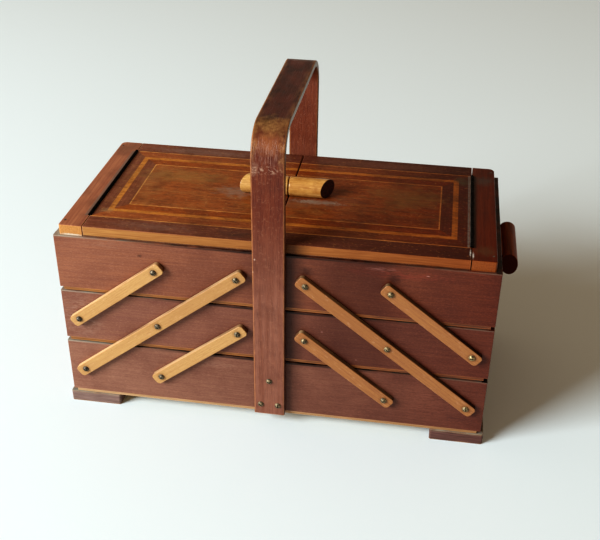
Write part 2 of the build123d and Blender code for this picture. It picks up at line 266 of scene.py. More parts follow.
# stained tones of the walls on the right and on the faded left; lower tiers are greyer
WALL_TONES = {
    "base": (("582a1d", "683728"), ("895e4d", "99705b")),
    "middle": (("56271a", "673322"), ("815547", "90644f")),
    "top": (("522112", "632c19"), ("855440", "986449")),
}
SCRATCH = "b9867a"
WALL_STREAK = (46, 1.5)  # length and width of a streak
BARE_TONES = ("a9814f", "c9a26c")  # unstained wood
TRAYS_FROM = 100  # a board whose rim is higher belongs to a tray
LINED_MARK = 8  # a mark with a longer half follows the grain
THROUGH = 1000  # a spot this deep goes through its board

# marks on the front boards: x, z, half length, half height, colour, strength
WALL_MARKS = {
    "right_top_front_panel": (
        (105, 196, 17, 2.6, SCRATCH, 0.55),
        (118, 192, 60, 7.0, "8a4030", 0.5),
        (148, 193, 2.0, 0.8, SCRATCH, 0.6),
        (196, 199, 12, 2.0, "7c4230", 0.5),
        # the next two are painted shadows above the upper ends of the right arms
        (34, 186, 8, 7.0, "1c0604", 0.5),
        (117, 186, 8, 7.0, "1c0604", 0.5),
    ),
    "right_middle_front_panel": (
        (50, 118.6, 1.5, 0.8, SCRATCH, 0.6),
        (85, 88.9, 1.5, 0.8, SCRATCH, 0.6),
    ),
    "left_top_front_panel": (
        (-129, 187, 3.0, 2.2, "43231a", 0.7),
        (-160, 196, 45, 5.0, "8f6a58", 0.35),
    ),
    "left_middle_front_panel": (
        (-185, 128, 30, 8.0, "9a7462", 0.3),
        (-196, 108, 26, 34.0, "a88a78", 0.4),
    ),
    "base_front_panel": (
        (-60, 66, 26, 5.0, "a07c6a", 0.35),
        (165, 50, 42, 26.0, "84503f", 0.4),
        (188, 30, 14, 7.0, "38181a", 0.4),
    ),
}


def mahogany_wall(name, outward, turn, seed, tones, rim, marks):
    """Close-grained hardwood, spirit-stained to mahogany outside and satin varnished.

    The eye meets red-brown with fine level grain, honey wood where arrises have worn, grey
    dust on the rim, a few rubbed marks, and bare pale wood inside.
    """
    material, tree = new_material(name)
    place = in_mm(tree, turn)
    stained, pores = faded_wood(tree, place, *tones, WALL_STREAK, (0.4, 0.3), seed)
    mottle = add(tree, "TexNoise", {"Vector": place, "Scale": 0.022, "Detail": 4})
    stained = laid(tree, stained, mottle, (0.42, 0.72), 0.45, ("3c1610", "64352a"))
    stained = layered(
        tree,
        stained,
        place,
        # scuffs, dark fibres, pale flakes
        ((9, 1.2, seed + 9, 4), (0.64, 0.78), 0.4, ("87493c", "ba8670")),
        ((3, 0.8, seed + 2, 5, 0.8), (0.46, 0.66), 0.36, ("30100b", "62362c")),
        ((2.6, 1.0, seed + 6, 4, 0.7), (0.52, 0.66), 0.25, ("884634", "b08870")),
    )
    upright = in_mm(tree)
    lines = risen(tree, marks_along(tree, upright, 7, 0.9, seed=3, detail=4), (0.42, 0.6))
    for x, z, half_length, half_height, code, strength in marks:
        spot = (x, 0, z), (half_length, THROUGH, half_height), 0.45, 0.3
        share = times(tree, lines, strength) if half_length > LINED_MARK else strength
        stained = dab(tree, stained, upright, spot, share, code)
    stained = blend(tree, edge_wear(tree, place, 1.0), stained, ("8a5034", "b57e58"))
    # painted shadow of the handle's leg just right of it, stronger on the trays; the trays are also
    # darker from about 64 to 104 mm right of the middle
    beside_strength, darker_band_strength = (0.55, 0.42) if rim > TRAYS_FROM else (0.2, 0.0)
    across, sideways, height = add(tree, "SeparateXYZ", {0: upright}, out=("X", "Y", "Z"))
    beside = between(tree, across, 12, 22, 14)
    stained = blend(tree, times(tree, beside, beside_strength), stained, "250e09")
    darker_band = between(tree, across, 64, 104, 30)
    stained = blend(tree, times(tree, darker_band, darker_band_strength), stained, "330b04")
    # under the rim, painted shadow of the gap, near black by the handle, and grey dust towards the
    # ends
    from_middle = add(tree, "Math", {0: across}, operation="ABSOLUTE")
    from_axis = add(tree, "Math", {0: sideways}, operation="ABSOLUTE")
    by_handle = risen(tree, from_middle, (150, 30))
    outwards = risen(tree, from_middle, (140, 205))
    front_margin = risen(tree, from_axis, (LID_HALF + 0.1, LID_HALF + 0.6))
    upper = facing(tree, (0, 0, 1))
    upright_face = add(tree, "Math", {0: 1.0, 1: upper}, operation="SUBTRACT")
    gap_shadow = between(tree, height, rim - 1.4, rim, 1.3)
    gap_shadow = times(tree, gap_shadow, by_handle, front_margin, upright_face, 0.9)
    stained = blend(tree, gap_shadow, stained, "150806")
    dust = between(tree, height, rim - 0.7, rim, 0.8)
    dust = times(tree, dust, outwards, upright_face, 0.75)
    stained = blend(tree, dust, stained, ("6a5548", "968c7d"))
    bare, _ = wood(tree, place, *BARE_TONES, WALL_STREAK, 0.2, seed)
    inside = facing(tree, tuple(-c for c in outward))
    colour = blend(tree, inside, stained, bare)
    # on the rims outside the lids: grey dust towards the ends, and painted shade, near black,
    # towards the middle and past the right strip's end; the rest of each rim stays cleaner
    past_strip = (STRIP_END - 0.4, STRIP_END + 0.1)
    margin = {0: front_margin, 1: risen(tree, from_middle, past_strip)}
    margin = add(tree, "Math", margin, operation="MAXIMUM")
    margin = add(tree, "MapRange", {"Value": margin, "To Min": 0.15})
    dust_and_gap_shade = laid(tree, ("54443a", "9a9082"), from_middle, (205, 80), 1.0, "120806")
    dust_and_gap_shade = laid(tree, dust_and_gap_shade, across, past_strip, 1.0, "120b08")
    colour = dusted(tree, colour, times(tree, upper, margin), dust_and_gap_shade)
    gloss = add(tree, "MapRange", {"Value": pores, "To Min": 0.38, "To Max": 0.6})
    return close_material(material, colour, gloss, pores, -0.04, Specular_IOR_Level=0.3)


# hazes on the lids, seen from above: centre, half sizes, raggedness, strength, colour
LID_HAZES = (
    ((6, -18), (54, 11), 0.7, 0.4, "6b5648"),
    ((30, -11), (34, 6), 0.9, 0.85, "8f8072"),
    ((-56, -2), (26, 16), 0.9, 0.6, "927c6c"),
    ((60, -2), (24, 10), 0.7, 0.25, "5c483c"),
    ((-120, 25), (60, 20), 0.8, 0.4, "947845"),
    ((122, 14), (46, 32), 0.9, 0.62, "7c5830"),
    ((-172, -64), (9, 6), 0.6, 0.45, "9c8460"),
    ((176, 64), (10, 14), 0.7, 0.55, "4e4a36"),
    ((90, 88), (100, 10), 0.9, 0.5, "744c3c"),
    ((-110, 88), (80, 10), 0.9, 0.45, "8a7266"),
    ((-36, -90), (26, 10), 0.8, 0.5, "3c2c28"),
    ((-120, -90), (50, 9), 0.9, 0.3, "8c7468"),
    ((-148, 10), (14, 40), 0.8, 0.35, "a4764a"),
    ((184.6, -88), (1.0, 8), 0.6, 0.8, "cfc9c0"),
)


def inlaid_lid():
    """Sliced mahogany veneer with boxwood stringing on a solid lid, under worn gloss varnish.

    A dark border, a thin line, a red-brown band, a broad light band, a darker band, a thin
    line and a plain field follow each other inwards. The solid edges stay honey-coloured.
    """
    material, tree = new_material("lid_mahogany_veneer")
    place = in_mm(tree)
    crosswise = in_mm(tree, ALONG_Y)
    signed, across, height = add(tree, "SeparateXYZ", {0: place}, out=("X", "Y", "Z"))
    along = add(tree, "Math", {0: signed}, operation="ABSOLUTE")
    across = add(tree, "Math", {0: across}, operation="ABSOLUTE")

    def past(end, face):
        """How far a point lies outside a rectangle, and how far past its ends and faces."""
        past_end = add(tree, "Math", {0: along, 1: end}, operation="SUBTRACT")
        past_face = add(tree, "Math", {0: across, 1: face}, operation="SUBTRACT")
        outside = add(tree, "Math", {0: past_end, 1: past_face}, operation="MAXIMUM")
        return outside, past_end, past_face

    def line(distance, half_width):
        """1 within a line's width, with a soft edge of a few tenths."""
        away = add(tree, "Math", {0: distance}, operation="ABSOLUTE")
        return risen(tree, away, (half_width + 0.25, half_width - 0.25))

    from_band, end_part, face_part = past(BAND_END, BAND_FACE)
    from_field, _, _ = past(FIELD_END, FIELD_FACE)
    border_part = add(tree, "Math", {0: across, 1: BORDER_FACE}, operation="SUBTRACT")
    at_ends = add(tree, "Math", {0: end_part, 1: face_part}, operation="GREATER_THAN")

    def veneer(deep, pale, seed, lay=place, pore=0.35):
        """One veneer, darker on the side away from the window."""
        return faded_wood(tree, lay, deep, pale, (38, 2.0), (pore, pore), seed)[0]

    field = veneer(("5c1b04", "7b2f07"), ("965329", "b36f3a"), 3)
    inner_long = veneer(("511402", "6d1b03"), ("984c1c", "b0672e"), 11)
    inner_end = veneer(("441105", "581909"), ("7f4830", "965f42"), 12, crosswise)
    outer_long = veneer(("420c02", "541103"), ("9a512a", "b5703d"), 21)
    outer_end = veneer(("420c03", "531305"), ("6f3d2c", "905b44"), 22, crosswise)
    border = veneer(("360b03", "451005"), ("734332", "935c46"), 31)
    boxwood = veneer(("8a4615", "a45a1c"), ("b9752f", "d3954b"), 41, pore=0.15)
    stringing = veneer(("9b5522", "b56c31"), ("d2954e", "e6ae69"), 43, pore=0.15)

    top = blend(tree, at_ends, inner_long, inner_end)
    outer = blend(tree, at_ends, outer_long, outer_end)
    in_field = add(tree, "Math", {0: from_field, 1: 0.0}, operation="LESS_THAN")
    past_band = add(tree, "Math", {0: from_band, 1: 0.0}, operation="GREATER_THAN")
    in_border = add(tree, "Math", {0: border_part, 1: 0.0}, operation="GREATER_THAN")
    for share, laid_in in (
        (in_field, field),
        (past_band, outer),
        (in_border, border),
        (line(from_band, BAND_WIDTH / 2), boxwood),
        (line(from_field, LINE_WIDTH / 2), stringing),
        (line(border_part, LINE_WIDTH / 2), stringing),
    ):
        top = blend(tree, share, top, laid_in)

    # rubbed varnish: golden scuffs in the field, pale ones by the hinge, fibres and grime
    rubbed = marks_along(tree, place, 24, 9, seed=7, detail=6, rough=0.7)
    golden = ("6e4b28", "a5804f")
    top = laid(tree, top, rubbed, (0.5, 0.7), times(tree, in_field, 0.5), golden)
    streaks = marks_along(tree, place, 14, 2.6, seed=9, detail=6, rough=0.7)
    by_hinge = times(tree, past_band, at_ends, 0.6)
    top = laid(tree, top, streaks, (0.48, 0.64), by_hinge, ("4a2210", "9c6c42"))
    top = layered(
        tree,
        top,
        place,
        # dark fibres, pale speckles, dull patches
        ((6, 1.8, 19, 5, 0.8), (0.48, 0.64), 0.5, ("240903", "60301c")),
        ((3.4, 2.2, 29, 4, 0.7), (0.58, 0.7), 0.65, ("9c6233", "c4945f")),
        ((16, 5, 39, 6, 0.7), (0.5, 0.62), 0.4, ("3c1408", "6b3820")),
    )
    grime = add(tree, "TexNoise", {"Vector": place, "Scale": 0.035, "Detail": 5})
    top = laid(tree, top, grime, (0.5, 0.72), 0.45, ("2c0f08", "54301f"))
    patchy = {"Value": streaks, "From Min": 0.38, "From Max": 0.58, "To Min": 0.5}
    patchy = add(tree, "MapRange", patchy)
    for centre, size, ragged, strength, code in LID_HAZES:
        spot = (*centre, LID_TOP), (*size, 30), ragged, 2.5 / size[1]
        top = dab(tree, top, place, spot, times(tree, patchy, strength), code)
    # the edge beside the hinge has rubbed grey on the right lid
    rubbed_edge = between(tree, signed, 182.0, 183.4, 0.5)
    in_slot = between(tree, across, 0, HINGE_HALF, 1)
    rubbed_edge = times(tree, rubbed_edge, in_slot, 0.5)
    top = laid(tree, top, streaks, (0.36, 0.5), rubbed_edge, "817c72")

    # solid edges, shaded beside the handle and along the lower arris
    honey = ("8a4920", "b3854f")
    dull_honey = ("703613", "986739")
    core, pores = wood(tree, place, dull_honey, honey, (34, 1.2), 0.4, 51)
    beside = between(tree, signed, 12, 24, 14)
    core = blend(tree, times(tree, beside, 0.5), core, "3a1a0c")
    lower_arris = between(tree, height, LID_UNDER, LID_UNDER + 0.5, 0.3)
    core = blend(tree, times(tree, lower_arris, 0.85), core, "1c0e08")
    colour = blend(tree, facing(tree, (0, 0, 1), 0.5, 0.7), core, top)
    bare, _ = wood(tree, place, *BARE_TONES, (60, 2.4), 0.25, 53)
    colour = blend(tree, facing(tree, (0, 0, -1), 0.5, 0.7), colour, bare)
    # the worn arrises are pale, and this pale also serves as a painted highlight along them
    off_split = {"Value": along, "From Min": 2, "From Max": 8, "To Min": 0.3}
    arris = times(tree, edge_wear(tree, place, 1.2), add(tree, "MapRange", off_split), 0.8)
    colour = blend(tree, arris, colour, ("a0603a", "cfa084"))
    gloss = add(tree, "MapRange", {"Value": rubbed, "To Min": 0.24, "To Max": 0.5})
    return close_material(material, colour, gloss, pores, -0.03, Specular_IOR_Level=0.2)


# hazes on the end strips: centre, half sizes, strength, colour
STRIP_HAZES = (
    ((198, 68), (14, 14), 0.55, "4c4038"),
    ((198, -82), (12, 12), 0.35, "5a462e"),
    ((187, -92), (1.2, 7), 0.8, "cfc9c0"),
    ((-198, 84), (14, 18), 0.4, "70503e"),
)


def strip_board():
    """Solid board, stained mahogany on top, with honey-coloured edges.

    Red-brown streaks run across the carrier; grime has gathered at its back end.
    """
    material, tree = new_material("strip_mahogany")
    place = in_mm(tree, ALONG_Y)
    tones = ("491002", "5e1d04"), ("965d46", "b37959")
    top, pores = faded_wood(tree, place, *tones, (60, 2.4), (0.4, 0.35), 61)
    grime = add(tree, "TexNoise", {"Vector": place, "Scale": 0.04, "Detail": 5})
    top = laid(tree, top, grime, (0.48, 0.7), 0.5, ("2a0f0a", "6a4234"))
    level = in_mm(tree)
    for centre, size, strength, code in STRIP_HAZES:
        spot = (*centre, LID_TOP), (*size, 30), 0.6, 2.5 / size[1]
        top = dab(tree, top, level, spot, strength, code)
    # painted shadow beside the right hinge, a grey edge beside the left one
    signed, across = add(tree, "SeparateXYZ", {0: level}, out=("X", "Y"))
    in_slot = between(tree, across, -HINGE_HALF, HINGE_HALF, 1)
    shaded = times(tree, between(tree, signed, 187, 188.4, 2.6), in_slot, 0.9)
    top = blend(tree, shaded, top, "140503")
    rubbed_edge = times(tree, between(tree, signed, -190.4, -187, 0.8), in_slot, 0.6)
    top = blend(tree, rubbed_edge, top, "6e625a")
    honey = ("8c4c22", "c39058")
    dull_honey = ("743916", "a8733e")
    core, _ = wood(tree, place, dull_honey, honey, (34, 1.2), 0.4, 71)
    colour = blend(tree, facing(tree, (0, 0, 1), 0.5, 0.7), core, top)
    rim = times(tree, edge_wear(tree, place, 1.2), 0.7)
    colour = blend(tree, rim, colour, ("7c4224", "c08c66"))
    # a smear of old glue along the lower edge of the left strip
    glue = (-197, -100.6, 202.6), (14, 3, 1.5), 0.5, 0.4
    colour = dab(tree, colour, level, glue, 0.75, "d9d2c2")
    gloss = add(tree, "MapRange", {"Value": pores, "To Min": 0.3, "To Max": 0.5})
    return close_material(material, colour, gloss, pores, -0.04, Specular_IOR_Level=0.2)


# edges of the plywood floors: dull and bright tones, each right and left, and the core's share
PLY_TONES = {
    "base": ((("8c653e", "ad8860"), ("a87c52", "c6a47e")), 0.2),
    "tray": ((("4e2410", "80502a"), ("8a4c22", "b07838")), 0.55),
}


def birch_plywood(name, bottom, top, tones, core_share):
    """Three-ply birch, its edges honey-coloured: a darker end-grain ply between two pale."""
    material, tree = new_material(name)
    place = in_mm(tree)
    sheet, pores = wood(tree, place, "b0834c", "cfa468", (60, 4), 0.2, 81)
    edge, _ = wood(tree, place, *tones, (22, 1.4), 0.3, 83)
    height = add(tree, "SeparateXYZ", {0: place}, out="Z")
    middle = add(tree, "Math", {0: height, 1: (bottom + top) / 2}, operation="SUBTRACT")
    away = add(tree, "Math", {0: middle}, operation="ABSOLUTE")
    core_half = (top - bottom) / 6
    in_core = (core_half + 0.1, core_half - 0.1)
    edge = laid(tree, edge, away, in_core, core_share, ("4a2410", "6e4420"))
    flat = {0: facing(tree, (0, 0, 1)), 1: facing(tree, (0, 0, -1))}
    colour = blend(tree, add(tree, "Math", flat, operation="MAXIMUM"), edge, sheet)
    return close_material(material, colour, 0.55, pores, -0.03)


def beech_arm(name, side, pivots):
    """Planed beech under clear varnish: warm honey with short darker rays along the grain.

    Grime rings the screws, the arris round the face has darkened, and a few pale rub marks
    cross it. The long arms are darker towards their upper ends.
    """
    material, tree = new_material(name)
    low, high = pivots[0], pivots[-1]
    slope = math.atan2(high.z - low.z, high.x - low.x)
    place = in_mm(tree, (0, slope, 0))
    tones = ("b08655", "bd9661") if side < 0 else ("8e5c37", "a27041")
    colour, rays = wood(tree, place, *tones, (30, 1.1), 0.3, 91 + side)
    flecks = ((3, 0.8, 23, 2), (0.56, 0.7), 0.35, ("6e3c20", "a06e40"))
    colour = layered(tree, colour, place, flecks)
    colour = blend(tree, edge_wear(tree, place, 1.6), colour, ("7a3a16", "b06a2a"))
    upright = in_mm(tree)
    if len(pivots) > 2:
        height = add(tree, "SeparateXYZ", {0: upright}, out="Z")
        colour = laid(tree, colour, height, (80, 130), 0.3, ("83522c", "9a6636"))
    for pivot in pivots:
        ring = (pivot.x / MM, 0, pivot.z / MM), (6.0, THROUGH, 6.0), 0.25, 0.5
        colour = dab(tree, colour, upright, ring, 0.6, ("573018", "8d5c30"))
    rubs = ((7, 2.2, 17, 4), (0.6, 0.76), 0.32, ("bd9074", "dfb78e"))
    colour = layered(tree, colour, place, rubs)
    # the narrow sides: painted shade, near black, on the right arms, going over to painted light on
    # the left, cream in patches where they face up
    broad = {0: facing(tree, (0, -1, 0), 0.3, 0.6), 1: facing(tree, (0, 1, 0), 0.3, 0.6)}
    broad = add(tree, "Math", broad, operation="MAXIMUM")
    upward = facing(tree, (0, 0, 1), 0.55, 0.8)
    light_patch_noise = marks_along(tree, place, 40, 20, seed=27, detail=3)
    light_patches = {"Value": light_patch_noise, "From Min": 0.4, "From Max": 0.55, "To Min": 0.45}
    light_patches = add(tree, "MapRange", light_patches)
    sunlit = blend(tree, times(tree, upward, light_patches), "7c4a28", "e2bd8e")
    narrow = blend(tree, 0.95, colour, faded(tree, "150302", sunlit))
    colour = blend(tree, broad, narrow, colour)
    gloss = add(tree, "MapRange", {"Value": rays, "To Min": 0.4, "To Max": 0.58})
    return close_material(material, colour, gloss, rays, -0.03, Specular_IOR_Level=0.4)


def bent_handle():
    """Steam-bent hardwood strip, stained mahogany: grain follows the bend.

    The long arrises have rubbed through to honey wood, the grip has darkened with hands, and
    the front bend is worn golden, scratched and gouged.
    """
    material, tree = new_material("handle_bent_mahogany")
    place = in_mm(tree)
    x, y, height = add(tree, "SeparateXYZ", {0: place}, out=("X", "Y", "Z"))

    def lengthwise(width, length, seed, detail=4.0):
        """Noise drawn out along the bent strip, both up the legs and over the top."""
        drawn = {
            "Vector": place,
            "Location": (seed, seed, seed),
            "Scale": (1 / width, 1 / length, 1 / length),
        }
        stretched = add(tree, "Mapping", drawn)
        return add(tree, "TexNoise", {"Vector": stretched, "Scale": 1, "Detail": detail})

    broad = lengthwise(2.6, 70, 5)
    tone = risen(tree, broad, (0.34, 0.66))
    low = blend(tree, tone, "7b4b39", "895a48")
    high = blend(tree, tone, "5c2513", "6b311a")
    colour = laid(tree, low, height, (150, 245), 1.0, high)
    # the back leg is lighter
    colour = laid(tree, colour, y, (60, 104), 0.35, "8c5440")
    mottle = add(tree, "TexNoise", {"Vector": place, "Scale": 0.05, "Detail": 5})
    colour = laid(tree, colour, mottle, (0.45, 0.7), 0.35, "52261a")
    fine = lengthwise(0.7, 12, 9, 2)
    pores = risen(tree, fine, (0.54, 0.68))
    colour = blend(tree, times(tree, pores, 0.22), colour, "41190f")
    colour = laid(tree, colour, fine, (0.42, 0.3), 0.22, "9a6448")
    specks = add(tree, "TexNoise", {"Vector": place, "Scale": 0.35, "Detail": 5, "Roughness": 0.7})
    colour = laid(tree, colour, specks, (0.55, 0.72), 0.4, "9c6e56")

    # the top is dark with handling, streaked with dirt, and dusty towards the back
    dark_top = laid(tree, "4e2019", mottle, (0.35, 0.6), 1.0, "290b0a")
    smears = lengthwise(5, 26, 13, 6)
    smear = risen(tree, smears, (0.46, 0.66))
    dark_top = blend(tree, times(tree, smear, 0.35), dark_top, "653428")
    off_middle = add(tree, "Math", {0: x, 1: HANDLE_MIDDLE}, operation="SUBTRACT")
    off_middle = add(tree, "Math", {0: off_middle}, operation="ABSOLUTE")
    margin = (HANDLE_HALF - 7, HANDLE_HALF - 1)
    dark_top = laid(tree, dark_top, off_middle, margin, times(tree, smear, 0.8), "7d5634")
    held = risen(tree, height, (GRIP_LOW, HANDLE_TOP), 0.9)
    colour = blend(tree, held, colour, dark_top)
    far_end = (-1.5, 96, 328.5), (17, 26, 9), 0.7, 0.16
    colour = dab(tree, colour, place, far_end, 0.4, "7b6250")

    # the front bend: a golden band, a painted highlight where it turns down, whitish scratches
    # below it, gouges where the leg starts
    flecked = risen(tree, specks, (0.36, 0.6))
    softened = add(tree, "MapRange", {"Value": flecked, "To Min": 0.45})
    golden = (-1.5, -88, 325), (24, 18, 12), 0.8, 0.14
    colour = dab(tree, colour, place, golden, times(tree, softened, 0.7), "9c7549")
    bend_highlight = (-1.5, -106, 315), (19, 16, 13), 0.5, 0.2
    colour = dab(tree, colour, place, bend_highlight, 0.6, "9a5f3b")
    for rub_x, rub_z, rub_half in ((11, 299, 10), (-15, 312, 14), (12, 315, 9)):
        rub = (rub_x, -108, rub_z), (4.5, 14, rub_half), 0.7, 0.2
        colour = dab(tree, colour, place, rub, times(tree, flecked, 0.65), "95693f")
    scratches = spots(tree, place, (-1.5, -108, 304), (18, 12, 13), 0.5, 0.2)
    scratches = times(tree, scratches, 0.5)
    colour = laid(tree, colour, lengthwise(1.0, 10, 31, 5), (0.5, 0.66), scratches, "b08a78")
    chips = add(tree, "TexNoise", {"Vector": place, "Scale": 0.42, "Detail": 3})
    chips = risen(tree, chips, (0.53, 0.61))
    gouged = spots(tree, place, (-2.5, -110, 291.5), (15, 8, 5), 0.5, 0.2)
    bruised = spots(tree, place, (-13.5, -110, 292), (5, 8, 8), 0.6, 0.3)
    bruised = times(tree, bruised, add(tree, "MapRange", {"Value": chips, "To Min": 0.35}))
    torn = {0: times(tree, chips, gouged), 1: bruised}
    torn = times(tree, add(tree, "Math", torn, operation="MAXIMUM"), 0.6)
    colour = blend(tree, torn, colour, "b0907a")
    for speck_x, speck_z in ((-14.5, 198.5), (-16.4, 184.7)):
        speck = (speck_x, -110.2, speck_z), (1.0, 8, 1.4), 0.3, 0.5
        colour = dab(tree, colour, place, speck, 0.7, "c7ab98")

    arris = risen(tree, off_middle, (HANDLE_HALF - 1.8, HANDLE_HALF - 0.5))
    patches = lengthwise(3, 9, 47, 4)
    patchy = {"Value": patches, "From Min": 0.34, "From Max": 0.58, "To Min": 0.3}
    arris = times(tree, arris, add(tree, "MapRange", patchy))
    worn = add(tree, "Math", {0: edge_wear(tree, place, 1.8), 1: arris}, operation="MAXIMUM")
    colour = blend(tree, times(tree, worn, 0.8), colour, "ad7647")
    # the narrow sides are plain; the right one has a painted grey reflection along the top
    grain = add(tree, "TexNoise", {"Vector": place, "Scale": 0.5, "Detail": 5})
    plain = blend(tree, grain, "3c1c15", "7a4a36")
    right = facing(tree, (1, 0, 0), 0.6, 0.9)
    left = facing(tree, (-1, 0, 0), 0.6, 0.9)
    narrow = add(tree, "Math", {0: right, 1: left}, operation="MAXIMUM")
    grey = blend(tree, held, plain, "9b948a")
    colour = blend(tree, narrow, colour, blend(tree, right, plain, grey))
    gloss = add(tree, "MapRange", {"Value": broad, "To Min": 0.28, "To Max": 0.46})
    relief = add(tree, "Math", {0: pores, 1: torn}, operation="MAXIMUM")
    return close_material(material, colour, gloss, relief, -0.1, Specular_IOR_Level=0.35)


def golden_knob(side):
    """Round beech bar, polished golden with shellac; its slant-sawn end is near black."""
    material, tree = new_material(f"knob_shellac_{'left' if side < 0 else 'right'}")
    place = in_mm(tree)
    tones = ("b98a4c", "d3aa68") if side < 0 else ("ad793e", "c79856")
    colour, rays = wood(tree, place, *tones, (16, 1.6), 0.3, 101)
    age = add(tree, "TexNoise", {"Vector": place, "Scale": 0.12, "Detail": 4})
    colour = laid(tree, colour, age, (0.42, 0.7), 0.55, "8f5824")
    drifts = marks_along(tree, place, 6, 2.0, seed=33, detail=5)
    colour = laid(tree, colour, drifts, (0.54, 0.7), 0.4, "e4bc7c")
    colour = blend(tree, times(tree, edge_wear(tree, place, 1.2), 0.6), colour, "e2c08c")
    rings = add(tree, "TexNoise", {"Vector": place, "Scale": 0.5, "Detail": 3})
    end_grain = laid(tree, "240604", rings, (0.45, 0.65), 1.0, "4a150c")
    sawn = facing(tree, (side, 0, 0), 0.7, 0.8)
    colour = blend(tree, sawn, colour, end_grain)
    gloss = add(tree, "MapRange", {"Value": sawn, "To Min": 0.32, "To Max": 0.6})
    return close_material(material, colour, gloss, rays, -0.03, Coat_Weight=0.4, Coat_Roughness=0.2)


def dark_grip():
    """Round hardwood bar, stained nearly black mahogany and handled to a soft gloss."""
    material, tree = new_material("grip_dark_mahogany")
    place = in_mm(tree, ALONG_Y)
    colour, pores = wood(tree, place, "562405", "93450c", (40, 2.4), 0.4, 111)
    colour = blend(tree, times(tree, edge_wear(tree, place, 1.4), 0.5), colour, "6e3418")
    colour = blend(tree, facing(tree, (0, -1, 0), 0.7, 0.8), colour, "451503")
    return close_material(material, colour, 0.42, pores, -0.04, Specular_IOR_Level=0.12)


def stained_feet():
    """Hardwood blocks, stained dark brown, rubbed pale at their corners and dusty on top."""
    material, tree = new_material("feet_brown_stain")
    place = in_mm(tree)
    tones = ("442820", "6f4840"), ("694f47", "92786f")
    colour, pores = faded_wood(tree, place, *tones, (26, 1.4), (0.4, 0.4), 121)
    height = add(tree, "SeparateXYZ", {0: place}, out="Z")
    rim = risen(tree, height, (9.8, 12))
    drifts = marks_along(tree, place, 12, 2.5, seed=37, detail=5)
    colour = laid(tree, colour, drifts, (0.4, 0.6), times(tree, rim, 0.6), "8a7d66")
    colour = blend(tree, edge_wear(tree, place, 2.0), colour, "a98255")
    colour = dusted(tree, colour, facing(tree, (0, 0, 1)), "8f887c")
    return close_material(material, colour, 0.55, pores, -0.05, Specular_IOR_Level=0.35)


def blackened_screw():
    """Round-head steel screws, blued and then handled: dark with rubbed pewter domes.

    Dirt has filled the slots.
    """
    material, tree = new_material("screw_blued_steel")
    place = in_mm(tree)
    tarnish = add(tree, "TexNoise", {"Vector": place, "Scale": 0.7, "Detail": 4})
    dark, bright = ("5a534b", "3e3934"), ("c2ac80", "7a7168")
    colour = laid(tree, dark, tarnish, (0.38, 0.62), 1.0, bright)
    colour = blend(tree, edge_wear(tree, place, 0.4), colour, ("c4b48e", "a1988a"))
    open_sky = add(tree, "AmbientOcclusion", {"Distance": 1.2 * MM}, out="AO", only_local=True)
    colour = laid(tree, colour, open_sky, (0.85, 0.6), 1.0, "120d0a")
    gloss = add(tree, "MapRange", {"Value": tarnish, "To Min": 0.46, "To Max": 0.72})
    return close_material(material, colour, gloss, tarnish, 0.02, Metallic=1.0)


def rusted_pin():
    """Bright-drawn steel pins whose hammered heads have gone brown with rust."""
    material, tree = new_material("pin_rusted_steel")
    place = in_mm(tree)
    bloom = add(tree, "TexNoise", {"Vector": place, "Scale": 0.9, "Detail": 4})
    rust = risen(tree, bloom, (0.4, 0.62))
    colour = blend(tree, rust, "8a8278", "4a2e1e")
    gloss = add(tree, "MapRange", {"Value": rust, "To Min": 0.4, "To Max": 0.75})
    return close_material(material, colour, gloss, bloom, 0.03, Metallic=0.8)


def dull_hinge():
    """Rolled steel piano hinge, once nickelled: dark, dull and spotted brown."""
    material, tree = new_material("hinge_dull_nickel")
    place = in_mm(tree)
    spotted = add(tree, "TexNoise", {"Vector": place, "Scale": 0.35, "Detail": 5})
    colour = laid(tree, "2c2825", spotted, (0.4, 0.62), 1.0, "120d0b")
    # a painted highlight along the edge of the right hinge's leaf, beside the lid
    signed = add(tree, "SeparateXYZ", {0: place}, out="X")
    edge = times(tree, between(tree, signed, 183.5, 184.1, 0.3), 0.8)
    colour = blend(tree, edge, colour, "a8a39a")
    gloss = add(tree, "MapRange", {"Value": spotted, "To Min": 0.6, "To Max": 0.85})
    return close_material(material, colour, gloss, spotted, 0.02, Metallic=1.0)


# ---------------------------------------------------------------- dressing the frame's nodes


def dress(material, *names):
    """Give one finish to the frame's nodes."""
    for name in names:
        node = nodes[name]
        node.data.materials.clear()
        node.data.materials.append(material)


def dress_wall(name, outward, turn, seed, tier):
    """One board, in its tier's tones and with its own marks."""
    marks = WALL_MARKS.get(name, ())
    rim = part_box(name)[1].z / MM
    finish = mahogany_wall(f"{name}_mahogany", outward, turn, seed, WALL_TONES[tier], rim, marks)
    dress(finish, name)


def dress_carcass():
    """Walls and floors: grain lengthwise on the faces and crosswise on the ends.

    Each board has its own seed, so that no two show the same grain.
    """
    for face_name, face in FACES.items():
        dress_wall(f"base_{face_name}_panel", (0, face, 0), ALONG_X, 4 + face, "base")
    for side_name, side in SIDES.items():
        dress_wall(f"base_{side_name}_end", (side, 0, 0), ALONG_Y, 40 + side, "base")
        for number, tier in enumerate(TIERS):
            tray = f"{side_name}_{tier}"
            seed = 20 + 8 * side + 4 * number
            for face_name, face in FACES.items():
                dress_wall(f"{tray}_{face_name}_panel", (0, face, 0), ALONG_X, seed + face, tier)
            for end_name, way in (("inner", -side), ("outer", side)):
                dress_wall(f"{tray}_{end_name}_end", (way, 0, 0), ALONG_Y, seed + 60 + way, tier)
    for tray in ("base", *("_".join(names) for names in TRAYS)):
        low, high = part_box(f"{tray}_floor")
        varnished = PLY_TONES["base" if tray == "base" else "tray"]
        plywood = birch_plywood(f"{tray}_floor_plywood", low.z / MM, high.z / MM, *varnished)
        dress(plywood, f"{tray}_floor")


ARM_JOINTS = ("fold", "middle_tray_level", "top_tray_level", "lower_arm_swing", "upper_arm_swing")


